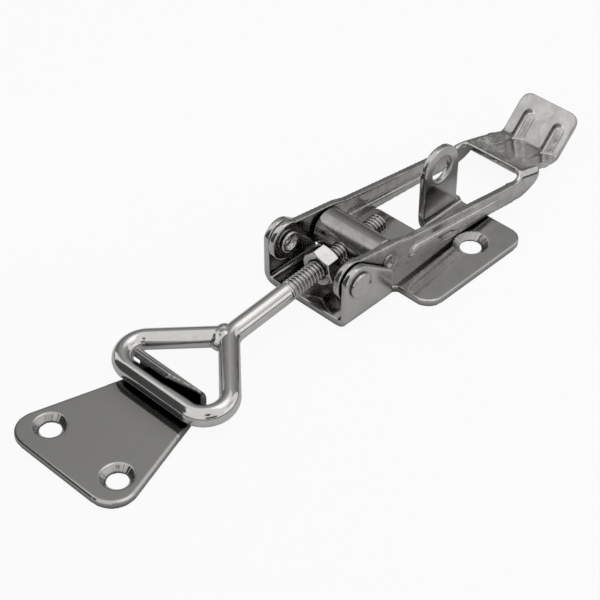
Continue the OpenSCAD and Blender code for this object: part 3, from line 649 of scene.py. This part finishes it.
bm = bmesh.new()
for x, y, z, r in beads:
    centre = Vector((-APEX + x, y, z)) * MM
    bmesh.ops.create_icosphere(bm, subdivisions=4, radius=r * MM,
                               matrix=Matrix.Translation(centre))
weld = new_piece("weld_bead", finished_mesh("weld_bead", bm))
skin = melt(weld, WELD_CELL, WELD_CALM)
for v in skin.vertices:
    v.co += v.normal * MM * LUMP_HEIGHT * noise.noise(v.co / MM * LUMPS_PER_MM)
skin.transform(in_place)
skin.shade_smooth()
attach(weld, "bolt")
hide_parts("eye_bolt")
print("weld faces:", len(skin.polygons))

# %% [markdown]
# ## Finishes that several steels share
# Polished stainless is never one value. The sheet keeps a faint rolling grain, the
# tumbling barrel leaves soft cloudy patches, handling leaves hairline scratches, and edges
# are rubbed brighter. Corners get painted shade: their colour is darkened where ambient
# occlusion finds them closed in. Each of these is a node group, built once, with its own
# inputs; a material places the groups it needs and feeds their values into colour,
# roughness and bump. All but the corner and edge masks read Object coordinates, so the
# finish stays on the metal when a piece moves.

# %% A helper that opens a node group
def open_group(name, inputs, outputs):
    """inputs: name -> (kind, default). Returns the group and its inside input and output."""
    group = bpy.data.node_groups.new(name, "ShaderNodeTree")
    for label, (kind, default) in inputs.items():
        socket = group.interface.new_socket(name=label, in_out="INPUT",
                                            socket_type="NodeSocket" + kind)
        socket.default_value = default
    for label in outputs:
        group.interface.new_socket(name=label, in_out="OUTPUT", socket_type="NodeSocketFloat")
    return group, group.nodes.new("NodeGroupInput"), group.nodes.new("NodeGroupOutput")


# %% [markdown]
# ### Rolling grain
# Sheet and bar carry very fine parallel lines. A noise texture whose space is squeezed
# across the lines and stretched along them gives such streaks; the Stretch vector says
# how many noise cells to the metre there are in each direction.

# %% Group: rolling grain
rolling_grain, gin, gout = open_group(
    "rolling_grain", {"Stretch": ("Vector", (60, 3000, 3000))}, ["Streak"])
place = add(rolling_grain, "ShaderNodeTexCoord")
squeeze = add(rolling_grain, "ShaderNodeVectorMath", operation="MULTIPLY")
lines = add(rolling_grain, "ShaderNodeTexNoise", Scale=1.0, Detail=3.0, Roughness=0.6)
join(rolling_grain, place, "Object", squeeze, 0)
join(rolling_grain, gin, "Stretch", squeeze, 1)
join(rolling_grain, squeeze, 0, lines, "Vector")
join(rolling_grain, lines, 0, gout, "Streak")

# %% [markdown]
# ### Cloudy patches
# Tumbling polishes unevenly. One noise with a few layers of detail, steepened about its
# middle, gives patches a few millimetres wide with soft borders. The smaller the
# Steepness, the narrower the range that is spread out, and the harder the borders.

# %% Group: tumbled patches
tumbled_patches, gin, gout = open_group(
    "tumbled_patches", {"Cells per metre": ("Float", 160.0), "Steepness": ("Float", 0.5)},
    ["Patch"])
place = add(tumbled_patches, "ShaderNodeTexCoord")
broad = add(tumbled_patches, "ShaderNodeTexNoise", Detail=4.0, Roughness=0.62, Distortion=0.6)
join(tumbled_patches, place, "Object", broad, "Vector")
join(tumbled_patches, gin, "Cells per metre", broad, "Scale")
half = maths(tumbled_patches, "MULTIPLY", (gin, "Steepness"), 0.5)
lowest = maths(tumbled_patches, "SUBTRACT", 0.5, (half, 0))
highest = maths(tumbled_patches, "ADD", 0.5, (half, 0))
patch = remap(tumbled_patches, (broad, 0), ((lowest, 0), (highest, 0)), smooth=True)
join(tumbled_patches, patch, 0, gout, "Patch")

# %% [markdown]
# ### Hairline scratches
# A scratch is long, thin and rare. We turn the space by an angle, stretch a noise far
# along one direction, and keep only its highest values, so a few thin strokes are left.

# %% Group: hairline scratches
hairlines, gin, gout = open_group(
    "hairlines", {"Turn": ("Vector", (0.0, 0.0, 0.6)), "Rarity": ("Float", 0.70)}, ["Scratch"])
place = add(hairlines, "ShaderNodeTexCoord")
turn = add(hairlines, "ShaderNodeVectorRotate", rotation_type="EULER_XYZ")
long_way = add(hairlines, "ShaderNodeVectorMath", operation="MULTIPLY")
long_way.inputs[1].default_value = (70, 3600, 1200)
strokes = add(hairlines, "ShaderNodeTexNoise", Scale=1.0, Detail=1.0)
join(hairlines, place, "Object", turn, "Vector")
join(hairlines, gin, "Turn", turn, "Rotation")
join(hairlines, turn, 0, long_way, 0)
join(hairlines, long_way, 0, strokes, "Vector")
full_depth = maths(hairlines, "ADD", (gin, "Rarity"), 0.05)
scratch = remap(hairlines, (strokes, 0), ((gin, "Rarity"), (full_depth, 0)))
join(hairlines, scratch, 0, gout, "Scratch")

# %% [markdown]
# ### Rubbed edges and painted corner shade
# Two masks come from the shape itself. Ambient occlusion asks how much of the sky a
# point sees within a short distance: little in a corner, whose colour then gets painted
# shade. Asked from the inside of the solid it finds the opposite, the thin outer edges
# that get rubbed.

# %% Group: painted corner shade and rubbed edges
corner_shade_and_rubbed_edges, gin, gout = open_group(
    "corner_shade_and_rubbed_edges", {"Reach": ("Float", 0.003), "Edge reach": ("Float", 0.0008)},
    ["Corner", "Edge"])
outside = add(corner_shade_and_rubbed_edges, "ShaderNodeAmbientOcclusion", samples=6)
inside = add(corner_shade_and_rubbed_edges, "ShaderNodeAmbientOcclusion", samples=6, inside=True,
             only_local=True)
join(corner_shade_and_rubbed_edges, gin, "Reach", outside, "Distance")
join(corner_shade_and_rubbed_edges, gin, "Edge reach", inside, "Distance")
# Painted shade: the less sky a point sees nearby, the darker its colour is made later.
corner = remap(corner_shade_and_rubbed_edges, (outside, "AO"), (0.95, 0.38), smooth=True)
edge = remap(corner_shade_and_rubbed_edges, (inside, "AO"), (0.45, 0.80), smooth=True)
join(corner_shade_and_rubbed_edges, corner, 0, gout, "Corner")
join(corner_shade_and_rubbed_edges, edge, 0, gout, "Edge")

# %% [markdown]
# ### Countersink chatter
# A countersink drill that chatters in tough stainless leaves rays round the cone, and
# they flash bright and dark. We take the place relative to the middle of the hole, turn
# it into an angle, and read a one-dimensional noise along that angle. The absolute value
# of the place folds the plate's two mirrored holes into one, so one centre serves both.

# %% Group: countersink chatter
chatter_rays, gin, gout = open_group(
    "chatter_rays", {"Centre": ("Vector", (0.0943, 0.0142, 0.0)), "Radius": ("Float", 0.0049)},
    ["Ray"])
place = add(chatter_rays, "ShaderNodeTexCoord")
fold = add(chatter_rays, "ShaderNodeVectorMath", operation="ABSOLUTE")
relative = add(chatter_rays, "ShaderNodeVectorMath", operation="SUBTRACT")
flat = add(chatter_rays, "ShaderNodeVectorMath", operation="MULTIPLY")
flat.inputs[1].default_value = (1, 1, 0)
split = add(chatter_rays, "ShaderNodeSeparateXYZ")
away = add(chatter_rays, "ShaderNodeVectorMath", operation="LENGTH")
rays = add(chatter_rays, "ShaderNodeTexNoise", noise_dimensions="1D", Scale=3.4, Detail=2.0,
           Roughness=0.55)
join(chatter_rays, place, "Object", fold, 0)
join(chatter_rays, fold, 0, relative, 0)
join(chatter_rays, gin, "Centre", relative, 1)
join(chatter_rays, relative, 0, flat, 0)
join(chatter_rays, flat, 0, split, 0)
join(chatter_rays, flat, 0, away, 0)
angle = maths(chatter_rays, "ARCTAN2", (split, "Y"), (split, "X"))
join(chatter_rays, angle, 0, rays, "W")
inside = maths(chatter_rays, "LESS_THAN", (away, "Value"), (gin, "Radius"))
ray = maths(chatter_rays, "MULTIPLY", (rays, 0), (inside, 0))
join(chatter_rays, ray, 0, gout, "Ray")

# %% [markdown]
# ### The sheared end of the hook
# Where the strip was cut off, the end of the hook shows a torn, dull face: nobody
# polishes inside the loop. The group finds it by two questions: does the surface face
# the cut direction, and does it lie high and far enough along the lip? The other output
# is a coarse grain for the torn metal.

# %% Group: sheared end
sheared_end, gin, gout = open_group(
    "sheared_end", {"Facing": ("Vector", (-0.96, 0.0, 0.28)), "Above": ("Float", 0.0092),
                    "Beyond": ("Float", -0.0012)}, ["Cut", "Torn"])
place = add(sheared_end, "ShaderNodeTexCoord")
facing = add(sheared_end, "ShaderNodeVectorMath", operation="DOT_PRODUCT")
split = add(sheared_end, "ShaderNodeSeparateXYZ")
torn = add(sheared_end, "ShaderNodeTexNoise", Scale=2600.0, Detail=3.0, Roughness=0.7)
join(sheared_end, place, "Normal", facing, 0)
join(sheared_end, gin, "Facing", facing, 1)
join(sheared_end, place, "Object", split, 0)
join(sheared_end, place, "Object", torn, "Vector")
turned = remap(sheared_end, (facing, "Value"), (0.55, 0.85), smooth=True)
high = maths(sheared_end, "GREATER_THAN", (split, "Z"), (gin, "Above"))
far = maths(sheared_end, "GREATER_THAN", (split, "Y"), (gin, "Beyond"))
there = maths(sheared_end, "MULTIPLY", (high, 0), (far, 0))
cut = maths(sheared_end, "MULTIPLY", (turned, 0), (there, 0))
join(sheared_end, cut, 0, gout, "Cut")
join(sheared_end, torn, 0, gout, "Torn")
print("groups:", sorted(g.name for g in bpy.data.node_groups))

# %% [markdown]
# ## One steel after another
# All the parts are the same stainless alloy, but each had its own making: the stampings
# were tumbled, the barrel was turned, the wire was drawn, the nut is bright bar. So one
# function builds the tree, and each steel gets its own numbers. The tree has three
# branches, and each is a small function of its own. The first is colour: cloudy patches
# are a little duller, painted shade darkens the corners, and torn metal is dark and speckled.

# %% Colour of a steel
# A near-black colour that is painted into corners as shade.
PAINTED_CORNER_SHADE = (0.05, 0.048, 0.045, 1)
TORN_GRAIN, TORN_TONES = (0.38, 0.62), (0.06, 0.34)


def place_group(tree, group, **values):
    node = tree.nodes.new("ShaderNodeGroup")
    node.node_tree = group
    for key, value in values.items():
        node.inputs[key.replace("_", " ")].default_value = value
    return node


def steel_color(tree, color, dull, clouds, masks, corner_shade_amount, end):
    tone = mixed(tree, (clouds, "Patch"), (*color, 1), (*dull, 1))
    # Painted shade: corners that ambient occlusion finds closed in are darkened towards
    # near-black.
    amount = maths(tree, "MULTIPLY", (masks, "Corner"), corner_shade_amount)
    result = mixed(tree, (amount, 0), (tone, "Result"), PAINTED_CORNER_SHADE)
    if end:
        speckle = remap(tree, (end, "Torn"), TORN_GRAIN, TORN_TONES)
        result = mixed(tree, (end, "Cut"), (result, "Result"), (speckle, 0))
    return result


# %% [markdown]
# ### Roughness and height
# Roughness lies between the polished and the cloudy value, is streaked by the grain, and
# drops on rubbed edges. Height adds up grain, clouds, scratches and chatter rays, each
# with its own depth, in units of one bump step of a fiftieth of a millimetre.

# %% Roughness and height of a steel
STREAK_ROUGHER, RUB_SMOOTHER, CUT_ROUGHER = 0.10, -0.10, 0.35
BUMP_STEP, RAY_DEPTH = 0.02 * MM, 14.0


def steel_roughness(tree, rough, clouds, streaks, masks, end):
    gloss = remap(tree, (clouds, "Patch"), (0.0, 1.0), rough)
    streaky = maths(tree, "MULTIPLY_ADD", (streaks, "Streak"), STREAK_ROUGHER, (gloss, 0))
    result = maths(tree, "MULTIPLY_ADD", (masks, "Edge"), RUB_SMOOTHER, (streaky, 0), clamp=True)
    if end:
        result = maths(tree, "MULTIPLY_ADD", (end, "Cut"), CUT_ROUGHER, (result, 0), clamp=True)
    return result


def steel_height(tree, layers):
    """layers: (node, output, depth), from the first to the last."""
    node, output, depth = layers[0]
    result = maths(tree, "MULTIPLY", (node, output), depth)
    for node, output, depth in layers[1:]:
        result = maths(tree, "MULTIPLY_ADD", (node, output), depth, (result, 0))
    return result


# %% [markdown]
# ### The whole tree
# The maker places the groups, hands their values to the three branches, and wires the
# branches into one Principled BSDF. Only stampings with countersunk holes get chatter
# rays, and only the strike plate has a torn end.

# %% The steel maker
def stainless(name, color, dull, rough, patch, grain, grain_bump, patch_bump, scratch,
              corner_shade_amount, reach=0.003, sinks=None, sheared=False):
    """rough: (polished, cloudy); patch: (cells per metre, steepness); grain: stretch;
    scratch: (rarity, depth); reach: how far the painted corner shade spreads; sinks: (centre,
    radius)."""
    material = bpy.data.materials.new(name)
    material.use_nodes = True
    tree = material.node_tree
    steel = tree.nodes["Principled BSDF"]
    steel.inputs["Metallic"].default_value = 1.0
    clouds = place_group(tree, tumbled_patches, Cells_per_metre=patch[0], Steepness=patch[1])
    streaks = place_group(tree, rolling_grain, Stretch=grain)
    strokes = place_group(tree, hairlines, Rarity=scratch[0])
    masks = place_group(tree, corner_shade_and_rubbed_edges, Reach=reach)
    end = place_group(tree, sheared_end) if sheared else None
    layers = [(streaks, "Streak", grain_bump), (clouds, "Patch", patch_bump),
              (strokes, "Scratch", -scratch[1])]
    if sinks:
        rays = place_group(tree, chatter_rays, Centre=sinks[0], Radius=sinks[1])
        layers.append((rays, "Ray", RAY_DEPTH))
    shade = steel_color(tree, color, dull, clouds, masks, corner_shade_amount, end)
    polish = steel_roughness(tree, rough, clouds, streaks, masks, end)
    bump = add(tree, "ShaderNodeBump", Distance=BUMP_STEP, Strength=1.0)
    join(tree, steel_height(tree, layers), 0, bump, "Height")
    join(tree, shade, "Result", steel, "Base Color")
    join(tree, polish, 0, steel, "Roughness")
    join(tree, bump, 0, steel, "Normal")
    return material


# %% [markdown]
# ### The numbers of each steel
# The colours are nearly the same grey with a trace of warmth. What differs is the
# finish: the wire and the strike plate are the most polished, the barrel has turning
# lines across and is the dullest, and the lever shows the clouds of the tumbling barrel
# most. The weld is steel of its own, dull and lumpy.

# %% Steel numbers
WING_HOLE, WING_SINK = (0.0504, 0.0189, 0.0), 0.0058
PLATE_HOLE, PLATE_SINK = (0.0943, 0.0142, 0.0), 0.0049

# The corner shade amount of each steel says how strongly its corners get painted shade.
steel_numbers = {
    "base": dict(
        color=(0.52, 0.512, 0.498), dull=(0.45, 0.443, 0.43), rough=(0.15, 0.23),
        patch=(150, 0.6), grain=(3000, 90, 3000), grain_bump=0.02, patch_bump=0.15,
        scratch=(0.76, 0.3), corner_shade_amount=0.80, reach=0.005, sinks=(WING_HOLE, WING_SINK)),
    "rivet": dict(
        color=(0.52, 0.512, 0.50), dull=(0.44, 0.433, 0.42), rough=(0.08, 0.16),
        patch=(400, 0.6), grain=(900, 900, 900), grain_bump=0.05, patch_bump=0.4,
        scratch=(0.70, 0.4), corner_shade_amount=0.5),
    "lever": dict(
        color=(0.55, 0.541, 0.526), dull=(0.38, 0.373, 0.36), rough=(0.10, 0.24),
        patch=(190, 0.5), grain=(80, 3000, 3000), grain_bump=0.05, patch_bump=1.2,
        scratch=(0.76, 0.4), corner_shade_amount=0.80, reach=0.004),
    "trunnion": dict(
        color=(0.40, 0.393, 0.38), dull=(0.32, 0.313, 0.30), rough=(0.16, 0.28),
        patch=(220, 0.5), grain=(2600, 60, 2600), grain_bump=0.15, patch_bump=0.3,
        scratch=(0.72, 0.4), corner_shade_amount=0.6),
    "bolt": dict(
        color=(0.60, 0.592, 0.58), dull=(0.56, 0.552, 0.54), rough=(0.14, 0.20),
        patch=(260, 0.5), grain=(120, 900, 900), grain_bump=0.03, patch_bump=0.12,
        scratch=(0.78, 0.3), corner_shade_amount=0.88),
    "weld": dict(
        color=(0.66, 0.652, 0.64), dull=(0.52, 0.512, 0.50), rough=(0.16, 0.30),
        patch=(700, 0.5), grain=(900, 900, 900), grain_bump=0.10, patch_bump=0.3,
        scratch=(0.80, 0.2), corner_shade_amount=0.8),
    "nut": dict(
        color=(0.54, 0.532, 0.52), dull=(0.48, 0.473, 0.46), rough=(0.12, 0.20),
        patch=(300, 0.5), grain=(400, 2200, 2200), grain_bump=0.08, patch_bump=0.4,
        scratch=(0.72, 0.4), corner_shade_amount=0.6),
    "strike": dict(
        color=(0.47, 0.463, 0.45), dull=(0.44, 0.433, 0.42), rough=(0.13, 0.19),
        patch=(60, 0.8), grain=(90, 3200, 3200), grain_bump=0.05, patch_bump=0.15,
        scratch=(0.78, 0.5), corner_shade_amount=0.85, reach=0.010, sinks=(PLATE_HOLE, PLATE_SINK),
        sheared=True),
}
steels = {key: stainless(key + "_steel", **numbers) for key, numbers in steel_numbers.items()}
print("steels:", sorted(m.name for m in steels.values()))

# %% [markdown]
# ## Dress the pieces
# Each new piece takes its steel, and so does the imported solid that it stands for, so
# that the two agree wherever the solid is looked at by itself.

# %% Dress the pieces
worn_by = {  # steel: pieces made here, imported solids
    "strike": ([strike], ["strike_plate"]),
    "base": ([base], ["base_bracket"]),
    "lever": ([lever], ["lever"]),
    "nut": ([nut], ["lock_nut"]),
    "trunnion": ([barrel], ["trunnion"]),
    "bolt": ([wire], ["eye_bolt"]),
    "weld": ([weld], []),
    "rivet": ([near_rivet, far_rivet], ["pivot_rivet_near", "pivot_rivet_far"]),
}
for key, (pieces, solids) in worn_by.items():
    for piece in pieces:
        piece.data.materials.clear()
        piece.data.materials.append(steels[key])
    for solid in solids:
        for s in nodes[solid].material_slots:
            s.material = steels[key]
print("dressed:", sum(len(pieces) for pieces, solids in worn_by.values()), "pieces")

# %% [markdown]
# ## Measure and finish
# The box of the dressed model is measured; dressing a piece should not make it bigger.

# %% Sizes of the dressed model
low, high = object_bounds()
